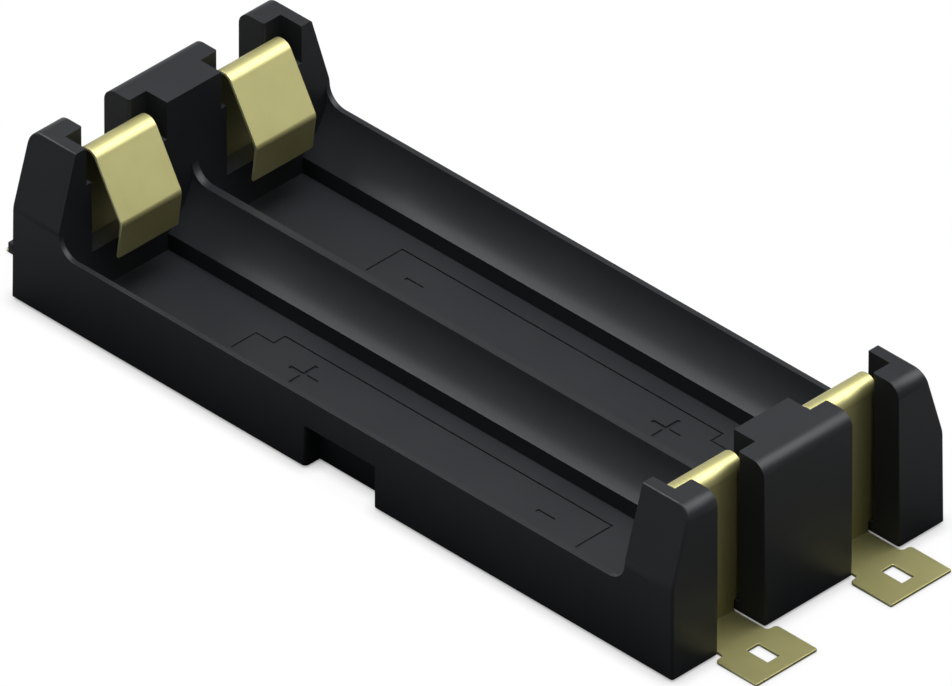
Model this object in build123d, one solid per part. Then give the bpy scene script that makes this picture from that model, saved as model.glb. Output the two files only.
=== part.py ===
from build123d import *
import math
import os

# Surface mount holder for two round cells lying side by side. Millimetres, +Z up.
# X runs along the cells, and the near bay is the one at -Y. Heights are given from the
# underside of the plastic. The solder pads lie one strip thickness below it, and the
# finished pieces are raised by that much, so that z = 0 is the board.

# Cells and bays
cell_diameter = 10.5
cradle_clearance = 0.18
cell_axis_height = 6.26
bay_pitch = 11.0
bay_length = 46.18
bay_sides = {"near": -1, "far": 1}

# Moulded housing
side_margin = 5.64
end_depth = 3.96
floor_thickness = 0.8
channel_width = 6.6
rim_height = 4.8
tower_height = 11.2
outer_draft = 0.6
inner_draft = 0.2
edge_radius = 0.15
tower_top_radius = 0.95
tower_foot_radius = 1.3

# Lean of the long outer faces of the end towers
lean_start = 6.3
lean_angle = 16.5
lean_break_radius = 2.0

# Slots that hold the contacts in the ends of the housing
slot_width = 3.8
lip_depth = 2.2
strip_depth = 2.35
pocket_width = 5.76
pocket_mouth_width = 6.58
pocket_step_height = 8.62
ledge_height = 3.7
shoulder_height = 0.69
fit_clearance = 0.05

# Notch in the foot of each long side
notch_length = 5.5
notch_depth = 1.17
notch_height = 2.86
notch_corner_radius = 0.3

# Stub left on one end face where the plastic was let into the mould
gate_width = 1.0
gate_height = 0.71
gate_depth = 0.26
gate_base_height = 2.94

# Contact, folded from one strip of spring metal
strip_thickness = 0.2
strip_width = 4.9
neck_width = 3.6
heel_radius = 0.1
fold_radius = 0.65
fold_top_height = 10.45
kink_depth = 5.8
kink_height = 6.3
kink_radius = 0.5
tip_depth = 5.5
tip_height = 3.9
pad_gap = 0.34
pad_length = 3.33
pad_width = 5.0
pad_corner_radius = 0.12
pad_shoulder_radius = 0.28
pad_hole_start = 0.91
pad_hole_length = 1.67
pad_hole_width = 0.95

# Worked out from the sizes above
cradle_radius = cell_diameter / 2 + cradle_clearance
half_length = bay_length / 2 + end_depth
half_width = bay_pitch / 2 + side_margin
strip_pocket_depth = strip_depth + strip_thickness + fit_clearance

# Overrun of the cuts, how straight an edge counts as straight, and the most of a wall a rounding takes
cut_over = 1.0
top_plane = tower_height + cut_over
nearly_straight = 0.99
rounding_share = 0.49


def block(x_range, y_range, z_range):
    """Box between two corners, given as a range along each axis."""
    sizes = [high - low for low, high in (x_range, y_range, z_range)]
    centre = [(high + low) / 2 for low, high in (x_range, y_range, z_range)]
    return Pos(*centre) * Box(*sizes)


def mirrored_outline(points):
    """Closed outline from the points of its right half, listed from the bottom up."""
    left = [(-x, z) for x, z in reversed(points)]
    return make_face(Polyline(*points, *left, close=True))


def corners_at(outline, x, z):
    """Pair of corners of a mirrored outline at one distance from its middle line."""
    return [
        corner
        for corner in outline.vertices()
        if math.isclose(abs(corner.X), x, abs_tol=1e-6) and math.isclose(corner.Y, z, abs_tol=1e-6)
    ]


def drafted_in(z):
    """How far a drafted outer face has moved in at one height."""
    return z * math.tan(math.radians(outer_draft))


def inner_face_x(z):
    """Distance of a bay's end wall from the middle at one height."""
    return bay_length / 2 + (z - floor_thickness) * math.tan(math.radians(inner_draft))


def along_length(outline):
    """Solid of one cross-section, running the whole length."""
    return extrude(Plane.YZ * outline, half_length + cut_over, both=True)


def across_width(outline):
    """Solid of one side view, running the whole width."""
    return extrude(Plane.XZ * outline, half_width + cut_over, both=True)


def upright(outline, low, high):
    """Solid of one plan between two heights, drawn as distance across and depth in."""
    plan = Plane((0, 0, high), x_dir=(0, 1, 0), z_dir=(0, 0, -1))
    return extrude(plan * outline, high - low)


def housing_side_view():
    """Low rims between the towers at the two ends, with rounded tower tops and feet."""
    top_x = half_length - drafted_in(tower_height)
    foot_x = inner_face_x(rim_height)
    inner_x = inner_face_x(tower_height)
    outline = mirrored_outline(
        [
            (half_length, 0),
            (top_x, tower_height),
            (inner_x, tower_height),
            (foot_x, rim_height),
        ]
    )
    outline = fillet(corners_at(outline, top_x, tower_height), tower_top_radius)
    return fillet(corners_at(outline, foot_x, rim_height), tower_foot_radius)


def housing_end_view():
    """Drafted sides whose upper part leans in towards the tower tops."""
    lean_y = half_width - drafted_in(lean_start)
    top_y = lean_y - (tower_height - lean_start) * math.tan(math.radians(lean_angle))
    outline = mirrored_outline([(half_width, 0), (lean_y, lean_start), (top_y, tower_height)])
    return fillet(corners_at(outline, lean_y, lean_start), lean_break_radius)


def side_notch():
    """Space cut into the foot of the near side, with its two outer corners rounded."""
    inner_y = -half_width + notch_depth
    notch = block(
        (-notch_length / 2, notch_length / 2),
        (-half_width - cut_over, inner_y),
        (-cut_over, notch_height),
    )
    flare = block(
        (-notch_length / 2 - notch_corner_radius, notch_length / 2 + notch_corner_radius),
        (-half_width - cut_over, -half_width + notch_corner_radius),
        (-cut_over, notch_height),
    )
    for side in (-1, 1):
        centre_x = side * (notch_length / 2 + notch_corner_radius)
        rounding = Cylinder(notch_corner_radius, 2 * top_plane)
        flare -= Pos(centre_x, -half_width + notch_corner_radius, 0) * rounding
    return notch + flare


def gate_stub():
    """Stub on the left end face, flush with the near side."""
    near_y = -half_width + drafted_in(gate_base_height + gate_height)
    return block(
        (-half_length - gate_depth, -half_length + edge_radius),
        (near_y, near_y + gate_width),
        (gate_base_height, gate_base_height + gate_height),
    )


def is_tower_edge(edge):
    """Whether an edge runs up an end corner or along the leaning side of a tower's top."""
    past_end_wall = abs(edge.center().X) > bay_length / 2 + end_depth / 4
    on_top = math.isclose(edge.center().Z, tower_height, abs_tol=1e-6)
    along = edge.tangent_at(0.5)
    runs_across = abs(along.Y) > nearly_straight
    runs_lengthwise = abs(along.X) > nearly_straight
    return past_end_wall and not runs_across and (on_top or not runs_lengthwise)


def housing_body():
    """Outer form, before the bays and the contact slots are cut."""
    body = across_width(housing_side_view()) & along_length(housing_end_view())
    body = fillet([edge for edge in body.edges() if is_tower_edge(edge)], edge_radius)
    notch = side_notch()
    return body - notch - Rot(0, 0, 180) * notch + gate_stub()


def bay_space():
    """Space for one cell: a cradle with upright walls above the rim, over a sunken channel."""
    rim_half_width = math.sqrt(cradle_radius**2 - (cell_axis_height - rim_height) ** 2)
    below_rim = Pos(0, rim_height / 2) * Rectangle(2 * cradle_radius, rim_height)
    cradle = (Pos(0, cell_axis_height) * Circle(cradle_radius)) & below_rim
    way_in = Pos(0, (rim_height + top_plane) / 2) * Rectangle(
        2 * rim_half_width, top_plane - rim_height
    )
    channel = Pos(0, (floor_thickness + rim_height) / 2) * Rectangle(
        channel_width, rim_height - floor_thickness
    )
    between_ends = mirrored_outline([(inner_face_x(0), 0), (inner_face_x(top_plane), top_plane)])
    return along_length(cradle + way_in + channel) & across_width(between_ends)


def slot_outline(*inner_points):
    """Plan of a slot from its mouth inwards, with the mouth's two edges rounded."""
    slot_y = slot_width / 2
    mouth_y = slot_y + 2 * edge_radius
    outline = mirrored_outline([(mouth_y, -cut_over), (mouth_y, 0), (slot_y, 0), *inner_points])
    return fillet(corners_at(outline, slot_y, 0), edge_radius)


def slot_space():
    """Space cut for one contact in the left end, with the end face at x = 0."""
    slot_y = slot_width / 2
    strip_y = strip_width / 2 + fit_clearance
    pocket_y = pocket_width / 2
    mouth_y = pocket_mouth_width / 2
    foot = slot_outline((slot_y, strip_pocket_depth))
    behind_lips = slot_outline(
        (slot_y, lip_depth), (strip_y, lip_depth), (strip_y, strip_pocket_depth)
    )
    behind_lips = fillet(corners_at(behind_lips, slot_y, lip_depth), edge_radius)
    space = upright(foot, -cut_over, shoulder_height)
    space += upright(behind_lips, shoulder_height, top_plane)
    bay_side = end_depth + cut_over
    space += block((lip_depth, bay_side), (-pocket_y, pocket_y), (ledge_height, pocket_step_height))
    return space + block((lip_depth, bay_side), (-mouth_y, mouth_y), (pocket_step_height, top_plane))


def at_ends(shape):
    """One copy of a left-end shape at each end, the right one turned round."""
    left = Pos(-half_length, 0, 0) * shape
    return {"left": left, "right": Rot(0, 0, 180) * left}


def make_housing():
    housing = housing_body()
    for side in bay_sides.values():
        bay_y = side * bay_pitch / 2
        housing -= Pos(0, bay_y, 0) * bay_space()
        for slot in at_ends(slot_space()).values():
            housing -= Pos(0, bay_y, 0) * slot
    return housing


def contact_side_view():
    """Bent strip seen from the side, from the solder pad up and over to the flap's tip."""
    back_x = strip_depth + strip_thickness
    fold_x = back_x + fold_radius
    fold_z = fold_top_height - strip_thickness - fold_radius
    reach = math.hypot(kink_depth - fold_x, fold_z - kink_height)
    flap_angle = math.atan2(kink_depth - fold_x, fold_z - kink_height) - math.asin(fold_radius / reach)
    apex_z = fold_z + fold_radius / math.tan(flap_angle / 2)
    inner_face = FilletPolyline(
        (-pad_gap - pad_length, -strip_thickness),
        (back_x, -strip_thickness),
        (back_x, apex_z),
        (kink_depth, kink_height),
        (tip_depth, tip_height),
        radius=[heel_radius + strip_thickness, fold_radius, kink_radius],
    )
    return make_face(offset(inner_face, strip_thickness, side=Side.LEFT))


def pad_outline():
    """Plan of the solder pad and its neck, with rounded shoulders."""
    pad_y = pad_width / 2
    neck_y = neck_width / 2
    pad_end = -pad_gap - pad_length
    shoulder_radius = min(pad_shoulder_radius, rounding_share * (pad_y - neck_y))
    outline = mirrored_outline(
        [(pad_y, pad_end), (pad_y, -pad_gap), (neck_y, -pad_gap), (neck_y, end_depth)]
    )
    outline = fillet(corners_at(outline, pad_y, pad_end), pad_corner_radius)
    shoulders = corners_at(outline, pad_y, -pad_gap) + corners_at(outline, neck_y, -pad_gap)
    outline = fillet(shoulders, shoulder_radius)
    hole = Pos(0, -pad_hole_start - pad_hole_length / 2) * Rectangle(pad_hole_width, pad_hole_length)
    return outline - hole


def make_contact():
    """Spring contact for the left end, with the end face at x = 0."""
    strip = extrude(Plane.XZ * contact_side_view(), pad_width / 2, both=True)
    flap_reach = max(kink_depth, tip_depth) + cut_over
    upper_part = block(
        (0, flap_reach), (-strip_width / 2, strip_width / 2), (shoulder_height, top_plane)
    )
    return strip & (upright(pad_outline(), -cut_over, shoulder_height) + upper_part)


def write(name, shape):
    """Raise one piece off the board and write it."""
    raised = Pos(0, 0, strip_thickness) * shape
    raised.label = name
    export_step(raised, os.path.join("parts", name + ".step"))


os.makedirs("parts", exist_ok=True)
write("housing", make_housing())
for bay, side in bay_sides.items():
    for end, contact in at_ends(make_contact()).items():
        write(f"contact_{bay}_{end}", Pos(0, side * bay_pitch / 2, 0) * contact)
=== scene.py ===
import math

import bmesh
import bpy
from mathutils import Matrix, Vector


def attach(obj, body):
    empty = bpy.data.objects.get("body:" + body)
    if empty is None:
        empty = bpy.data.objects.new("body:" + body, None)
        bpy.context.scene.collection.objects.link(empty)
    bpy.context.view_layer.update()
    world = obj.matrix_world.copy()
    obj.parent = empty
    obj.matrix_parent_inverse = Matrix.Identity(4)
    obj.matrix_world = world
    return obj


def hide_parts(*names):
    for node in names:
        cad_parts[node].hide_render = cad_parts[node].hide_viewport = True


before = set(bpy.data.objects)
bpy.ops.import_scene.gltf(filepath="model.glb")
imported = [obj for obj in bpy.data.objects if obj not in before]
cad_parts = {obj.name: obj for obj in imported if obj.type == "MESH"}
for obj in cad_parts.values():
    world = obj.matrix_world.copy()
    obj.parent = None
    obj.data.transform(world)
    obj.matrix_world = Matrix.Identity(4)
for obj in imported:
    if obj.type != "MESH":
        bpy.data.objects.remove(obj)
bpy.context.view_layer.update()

# Lengths are given in millimetres and turned into metres where they are used.
MM = 0.001

# Camera: a very long lens at the three-way equal viewing angle of the picture
CAMERA_AZIMUTH = math.radians(45.0)
CAMERA_ELEVATION = math.atan(1 / math.sqrt(2))
CAMERA_LENS = 1200.0
CAMERA_SENSOR = 36.0
CAMERA_DISTANCE = 1834.4
CAMERA_TARGET = (0.04, 0.0, 4.79)

# Sunk marks in the floor of each bay. Places along X are from the middle of the holder.
BAY_PITCH = 11.0
FLOOR_HEIGHT = 1.0
SIGN_DEPTH = 0.12
SIGN_STROKE = 0.28
PLUS_LENGTH = 2.25
MINUS_LENGTH = 1.4
GROOVE_DEPTH = 0.1
GROOVE_WIDTH = 0.12
CELL_HALF_WIDTH = 2.0
NUB_HALF_WIDTH = 1.05
BAY_MARKS = {
    "near": {
        "side": -1,
        "tip": -13.56,
        "shoulder": -12.11,
        "end": 14.73,
        "plus": -8.6,
        "minus": 11.18,
    },
    "far": {
        "side": 1,
        "tip": 14.27,
        "shoulder": 12.82,
        "end": -13.53,
        "plus": 10.06,
        "minus": -10.56,
    },
}

# Small rounding that a mould and a stamping tool leave on each edge
EDGE_ROUND = 0.05
ROUND_SEGMENTS = 2
SHARP_ANGLE = math.radians(32)
FLAT_ANGLE = math.radians(0.5)
WELD_DISTANCE = 0.0005

# Colours, as linear values
PLASTIC_DARK = (0.019, 0.0205, 0.024, 1)
PLASTIC_LIGHT = (0.024, 0.0255, 0.029, 1)
PLASTIC_SPECULAR = 0.085
PLASTIC_GLOSS = (0.38, 0.44)
GOLD_DEEP = (0.19, 0.18, 0.077, 1)
GOLD_PALE = (0.23, 0.217, 0.094, 1)
# Painted highlight: a light gold for the sheared edges, standing in for the light they catch
GOLD_EDGE_PAINTED_HIGHLIGHT = (0.74, 0.73, 0.43, 1)
WHITE = (1, 1, 1, 1)
METAL_GLOSS = (0.46, 0.52)
METAL_SHARE = 0.85

# Patterns in the materials: scales are counts per metre, and bump distances are metres
PATTERN_RANGE = (0.3, 0.7)
DRIFT_SCALE = 180.0
GRAIN_SCALE = 9000.0
GRAIN_BUMP = {"Strength": 0.12, "Distance": 0.00003}
CLOUD_SCALE = 500.0
LINE_SCALES = (300.0, 14000.0, 300.0)
LINE_BUMP = {"Strength": 0.02, "Distance": 0.00001}
# How squarely a strip face must face sideways to get the painted highlight of the sheared edges
SHEARED_EDGE_FACING = 0.8

# Studio: a white floor that is dimmer close to the holder, a faint fill, one lamp overhead, and
# two soft lights seen only as highlights, on the rounded end edges and along the cradles.
# A shadow is given as its reach in millimetres and its power. Other lengths here are metres.
FLOOR_HALF_SIZE = 3.0
FLOOR_GREY = (0.08, 0.08, 0.08, 1)
FLOOR_GLOW = 0.93
CONTACT_SHADOW = (1.0, 0.5)
REFLECTED_SHADOW = (20.0, 5.0)
SHADOW_SAMPLES = 8
WORLD_FILL = 0.10
LAMP_DISTANCE = 0.4
LAMPS = {
    "overhead": {
        "towards": (0.06, -0.03, 1.0),
        "size": 0.20,
        "level": 0.95,
        "lights_all": True,
    },
    "end_edge_highlight": {
        "towards": (0.346, 0.577, 0.740),
        "size": 0.30,
        "level": 2.6,
        "lights_all": False,
    },
    "cradle_highlight": {
        "towards": (-0.577, -0.211, 0.788),
        "size": 0.20,
        "level": 2.4,
        "lights_all": False,
    },
}

# Places of the colour sockets of a mix node, which has others for numbers and vectors
MIX_COLOUR_INPUTS = (6, 7)
MIX_COLOUR_OUTPUT = 2


def aim(thing, place, target):
    """Puts a camera or a lamp at a place, turned towards a target."""
    thing.location = place
    thing.rotation_euler = (Vector(target) - Vector(place)).to_track_quat("-Z", "Y").to_euler()


def add_camera():
    data = bpy.data.cameras.new("camera")
    data.lens = CAMERA_LENS
    data.sensor_width = CAMERA_SENSOR
    camera = bpy.data.objects.new("camera", data)
    bpy.context.collection.objects.link(camera)
    target = Vector(CAMERA_TARGET) * MM
    back = Vector((
        math.sin(CAMERA_AZIMUTH) * math.cos(CAMERA_ELEVATION),
        -math.cos(CAMERA_AZIMUTH) * math.cos(CAMERA_ELEVATION),
        math.sin(CAMERA_ELEVATION),
    ))
    aim(camera, target + back * CAMERA_DISTANCE * MM, target)
    bpy.context.scene.camera = camera


class Nodes:
    """Short way to add shader nodes to one material or world."""

    def __init__(self, owner):
        owner.use_nodes = True
        self.tree = owner.node_tree
        self.tree.nodes.clear()

    def add(self, kind, inputs=None, **settings):
        node = self.tree.nodes.new(kind)
        for name, value in settings.items():
            setattr(node, name, value)
        for name, value in (inputs or {}).items():
            if isinstance(value, bpy.types.NodeSocket):
                self.tree.links.new(value, node.inputs[name])
            else:
                node.inputs[name].default_value = value
        return node

    def noise(self, place, scale, detail=2.0, roughness=0.5):
        sizes = {"Vector": place, "Scale": scale, "Detail": detail, "Roughness": roughness}
        return self.add("ShaderNodeTexNoise", sizes).outputs["Fac"]

    def spread(self, value, low, high):
        """Turns the middle range of a pattern into a range of numbers."""
        node = self.add("ShaderNodeMapRange", {
            "Value": value,
            "From Min": PATTERN_RANGE[0],
            "From Max": PATTERN_RANGE[1],
            "To Min": low,
            "To Max": high,
        })
        return node.outputs["Result"]

    def blend(self, factor, first, second):
        """Colour between two others."""
        colours = dict(zip(MIX_COLOUR_INPUTS, (first, second)))
        node = self.add("ShaderNodeMix", {0: factor, **colours}, data_type="RGBA")
        return node.outputs[MIX_COLOUR_OUTPUT]

    def math(self, operation, first, second):
        node = self.add("ShaderNodeMath", {0: first, 1: second}, operation=operation)
        return node.outputs[0]


def moulded_plastic():
    """Satin black plastic: fine spark-eroded grain, and faint drifts of colour and gloss."""
    material = bpy.data.materials.new("satin_black_moulding")
    n = Nodes(material)
    place = n.add("ShaderNodeTexCoord").outputs["Object"]
    drift = n.noise(place, DRIFT_SCALE, 3.0)
    grain = n.noise(place, GRAIN_SCALE, 4.0, 0.6)
    colour = n.blend(drift, PLASTIC_DARK, PLASTIC_LIGHT)
    gloss = n.spread(drift, *PLASTIC_GLOSS)
    bump = n.add("ShaderNodeBump", {**GRAIN_BUMP, "Height": grain})
    shader = n.add("ShaderNodeBsdfPrincipled", {
        "Base Color": colour,
        "Roughness": gloss,
        "Normal": bump.outputs["Normal"],
        "Specular IOR Level": PLASTIC_SPECULAR,
    })
    n.add("ShaderNodeOutputMaterial", {"Surface": shader.outputs[0]})
    return material


def plated_strip():
    """Pale gold plate on rolled strip: fine lines along it, and sheared edges painted lighter as a
    painted highlight.
    """
    material = bpy.data.materials.new("gold_plated_spring_strip")
    n = Nodes(material)
    coordinates = n.add("ShaderNodeTexCoord")
    place = coordinates.outputs["Object"]
    normal = n.add("ShaderNodeSeparateXYZ", {"Vector": coordinates.outputs["Normal"]})
    lines_map = n.add("ShaderNodeMapping", {"Vector": place, "Scale": LINE_SCALES})
    lines = n.noise(lines_map.outputs["Vector"], 1.0, 3.0, 0.6)
    clouds = n.noise(place, CLOUD_SCALE, 3.0)
    across = n.math("ABSOLUTE", normal.outputs["Y"], 0.0)
    edge = n.math("GREATER_THAN", across, SHEARED_EDGE_FACING)
    colour = n.blend(clouds, GOLD_DEEP, GOLD_PALE)
    # Painted highlight: strip faces that face sideways, the sheared edges, get a light gold colour
    colour = n.blend(edge, colour, GOLD_EDGE_PAINTED_HIGHLIGHT)
    gloss = n.spread(lines, *METAL_GLOSS)
    bump = n.add("ShaderNodeBump", {**LINE_BUMP, "Height": lines})
    shader = n.add("ShaderNodeBsdfPrincipled", {
        "Base Color": colour,
        "Metallic": METAL_SHARE,
        "Roughness": gloss,
        "Normal": bump.outputs["Normal"],
    })
    n.add("ShaderNodeOutputMaterial", {"Surface": shader.outputs[0]})
    return material


def seen_directly(n):
    """1 for rays that show a surface as background: seen straight, mirrored or through."""
    path = n.add("ShaderNodeLightPath")
    shown = n.math("MAXIMUM", path.outputs["Is Camera Ray"], path.outputs["Is Glossy Ray"])
    return n.math("MAXIMUM", shown, path.outputs["Is Transmission Ray"])


def shadow_near(n, reach, power):
    """1 on open floor, falling towards 0 within a reach of the holder."""
    sky = n.add("ShaderNodeAmbientOcclusion", {"Distance": reach * MM}, samples=SHADOW_SAMPLES)
    return n.math("POWER", sky.outputs["AO"], power)


def white_floor():
    """Floor that shows white with the object's soft shadow, and throws little light back."""
    material = bpy.data.materials.new("white_floor")
    n = Nodes(material)
    lit = n.add("ShaderNodeBsdfDiffuse", {"Color": FLOOR_GREY}).outputs[0]
    strength = n.math("MULTIPLY", shadow_near(n, *CONTACT_SHADOW), FLOOR_GLOW)
    glow = n.add("ShaderNodeEmission", {"Color": WHITE, "Strength": strength}).outputs[0]
    seen = n.add("ShaderNodeAddShader", {0: lit, 1: glow}).outputs[0]
    strength = shadow_near(n, *REFLECTED_SHADOW)
    reflection = n.add("ShaderNodeEmission", {"Color": WHITE, "Strength": strength}).outputs[0]
    mirrored = n.add("ShaderNodeLightPath").outputs["Is Glossy Ray"]
    shown = n.add("ShaderNodeMixShader", {0: mirrored, 1: seen, 2: reflection}).outputs[0]
    shader = n.add("ShaderNodeMixShader", {0: seen_directly(n), 1: lit, 2: shown})
    n.add("ShaderNodeOutputMaterial", {"Surface": shader.outputs[0]})
    return material


def add_world():
    world = bpy.data.worlds.new("studio")
    bpy.context.scene.world = world
    n = Nodes(world)
    strength = n.math("MULTIPLY_ADD", seen_directly(n), 1 - WORLD_FILL)
    strength.node.inputs[2].default_value = WORLD_FILL
    background = n.add("ShaderNodeBackground", {"Color": WHITE, "Strength": strength})
    n.add("ShaderNodeOutputWorld", {"Surface": background.outputs[0]})


def add_floor():
    bm = bmesh.new()
    bmesh.ops.create_grid(bm, x_segments=1, y_segments=1, size=FLOOR_HALF_SIZE)
    mesh = bpy.data.meshes.new("floor")
    bm.to_mesh(mesh)
    bm.free()
    mesh.materials.append(white_floor())
    floor = bpy.data.objects.new("floor", mesh)
    bpy.context.collection.objects.link(floor)


def add_lamps():
    """Square lamps round the holder. Level 1 shows a surface that faces the lamp as written."""
    for name, lamp in LAMPS.items():
        data = bpy.data.lights.new(name, "AREA")
        data.shape = "SQUARE"
        data.size = lamp["size"]
        data.energy = lamp["level"] * (math.pi * LAMP_DISTANCE) ** 2
        thing = bpy.data.objects.new(name, data)
        bpy.context.collection.objects.link(thing)
        thing.visible_camera = False
        thing.visible_diffuse = lamp["lights_all"]
        aim(thing, Vector(lamp["towards"]).normalized() * LAMP_DISTANCE, (0, 0, 0))


def outline_face(bm, points, height):
    return bm.faces.new([bm.verts.new((x * MM, y * MM, height * MM)) for x, y in points])


def raise_faces(bm, faces, height):
    """Makes closed solids of flat faces by carrying them up to a height."""
    lifted = bmesh.ops.extrude_face_region(bm, geom=faces, use_keep_orig=True)
    for item in lifted["geom"]:
        if isinstance(item, bmesh.types.BMVert):
            item.co.z = height * MM


def sign_points(kind, centre_x, centre_y):
    """Outline of a plus or a minus, with its long stroke along X."""
    half = SIGN_STROKE / 2
    if kind == "minus":
        reach = MINUS_LENGTH / 2
        corners = [(-reach, -half), (reach, -half), (reach, half), (-reach, half)]
    else:
        reach = PLUS_LENGTH / 2
        arm = [(reach, -half), (reach, half), (half, half)]
        corners = []
        for quarter in range(4):
            turn = Matrix.Rotation(math.radians(90 * quarter), 2)
            corners += [tuple(turn @ Vector(point)) for point in arm]
    return [(centre_x + x, centre_y + y) for x, y in corners]


def cell_groove(bm, marks, centre_y):
    """Flat band along a cell's outline with its nub, open on the near side past the nub's width."""
    points = [
        (marks["end"], centre_y + CELL_HALF_WIDTH),
        (marks["shoulder"], centre_y + CELL_HALF_WIDTH),
        (marks["shoulder"], centre_y + NUB_HALF_WIDTH),
        (marks["tip"], centre_y + NUB_HALF_WIDTH),
        (marks["tip"], centre_y - CELL_HALF_WIDTH),
        (marks["end"], centre_y - CELL_HALF_WIDTH),
    ]
    middle = outline_face(bm, points, FLOOR_HEIGHT - GROOVE_DEPTH)
    middle.normal_update()
    band = bmesh.ops.inset_region(
        bm, faces=[middle], thickness=GROOVE_WIDTH * MM, use_even_offset=True, use_boundary=True
    )["faces"]
    bmesh.ops.delete(bm, geom=[middle], context="FACES")
    corners = dict.fromkeys(vert for face in band for vert in face.verts)
    edges = dict.fromkeys(edge for face in band for edge in face.edges)
    opened = bmesh.ops.bisect_plane(
        bm,
        geom=[*corners, *edges, *band],
        plane_co=(0, (centre_y - NUB_HALF_WIDTH) * MM, 0),
        plane_no=(0, -1, 0),
        clear_outer=True,
    )
    return [item for item in opened["geom"] if isinstance(item, bmesh.types.BMFace)]


def marks_cutter():
    """Solids of the sunk signs and of the fine groove round each cell's outline."""
    bm = bmesh.new()
    above = FLOOR_HEIGHT + SIGN_DEPTH
    for marks in BAY_MARKS.values():
        centre_y = marks["side"] * BAY_PITCH / 2
        for kind in ("plus", "minus"):
            points = sign_points(kind, marks[kind], centre_y)
            sign = outline_face(bm, points, FLOOR_HEIGHT - SIGN_DEPTH)
            raise_faces(bm, [sign], above)
        raise_faces(bm, cell_groove(bm, marks, centre_y), above)
    bmesh.ops.recalc_face_normals(bm, faces=bm.faces)
    mesh = bpy.data.meshes.new("marks_cutter")
    bm.to_mesh(mesh)
    bm.free()
    cutter = bpy.data.objects.new("marks_cutter", mesh)
    bpy.context.collection.objects.link(cutter)
    return cutter


def round_edges(bm):
    """Rounds each sharp outer and inner edge a little, as a mould leaves it."""
    sharp = [e for e in bm.edges if e.is_manifold and e.calc_face_angle(0) > SHARP_ANGLE]
    bmesh.ops.bevel(
        bm,
        geom=sharp,
        offset=EDGE_ROUND * MM,
        offset_type="OFFSET",
        segments=ROUND_SEGMENTS,
        profile=0.5,
        affect="EDGES",
        clamp_overlap=True,
        material=-1,
    )


def shade_by_angle(bm):
    for face in bm.faces:
        face.smooth = True
    for edge in bm.edges:
        edge.smooth = not (edge.is_manifold and edge.calc_face_angle(0) > SHARP_ANGLE)


def welded_copy(node_name):
    """The solid of one node with its doubled corners merged and its flat faces made whole."""
    bm = bmesh.new()
    bm.from_mesh(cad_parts[node_name].data)
    bmesh.ops.remove_doubles(bm, verts=bm.verts, dist=WELD_DISTANCE * MM)
    bmesh.ops.dissolve_limit(bm, angle_limit=FLAT_ANGLE, verts=bm.verts, edges=bm.edges)
    return bm


def finish_piece(bm, name, node_name, material):
    """Rounds a piece's edges and puts it in the place of its plain solid."""
    round_edges(bm)
    shade_by_angle(bm)
    mesh = bpy.data.meshes.new(name)
    bm.to_mesh(mesh)
    bm.free()
    mesh.materials.append(material)
    piece = bpy.data.objects.new(name, mesh)
    bpy.context.collection.objects.link(piece)
    weights = piece.modifiers.new("normals", "WEIGHTED_NORMAL")
    weights.keep_sharp = True
    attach(piece, "root")
    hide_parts(node_name)


def cut_marks(bm):
    """Sinks the signs and the cells' outlines into the floors of the bays."""
    mesh = bpy.data.meshes.new("uncut_moulding")
    bm.to_mesh(mesh)
    bm.free()
    uncut = bpy.data.objects.new("uncut_moulding", mesh)
    bpy.context.collection.objects.link(uncut)
    cutter = marks_cutter()
    cut = uncut.modifiers.new("marks", "BOOLEAN")
    cut.operation = "DIFFERENCE"
    cut.solver = "EXACT"
    cut.object = cutter
    evaluated = uncut.evaluated_get(bpy.context.evaluated_depsgraph_get())
    finished = bpy.data.meshes.new_from_object(evaluated)
    bpy.data.objects.remove(uncut)
    bpy.data.objects.remove(cutter)
    bm = bmesh.new()
    bm.from_mesh(finished)
    return bm


def make_housing(material):
    moulding = cut_marks(welded_copy("housing"))
    finish_piece(moulding, "housing_moulding", "housing", material)


def make_contacts(material):
    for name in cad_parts:
        if name.startswith("contact_"):
            finish_piece(welded_copy(name), "stamped_" + name, name, material)


add_camera()
add_world()
add_floor()
add_lamps()
make_housing(moulded_plastic())
make_contacts(plated_strip())
bpy.context.scene.view_settings.view_transform = "Standard"
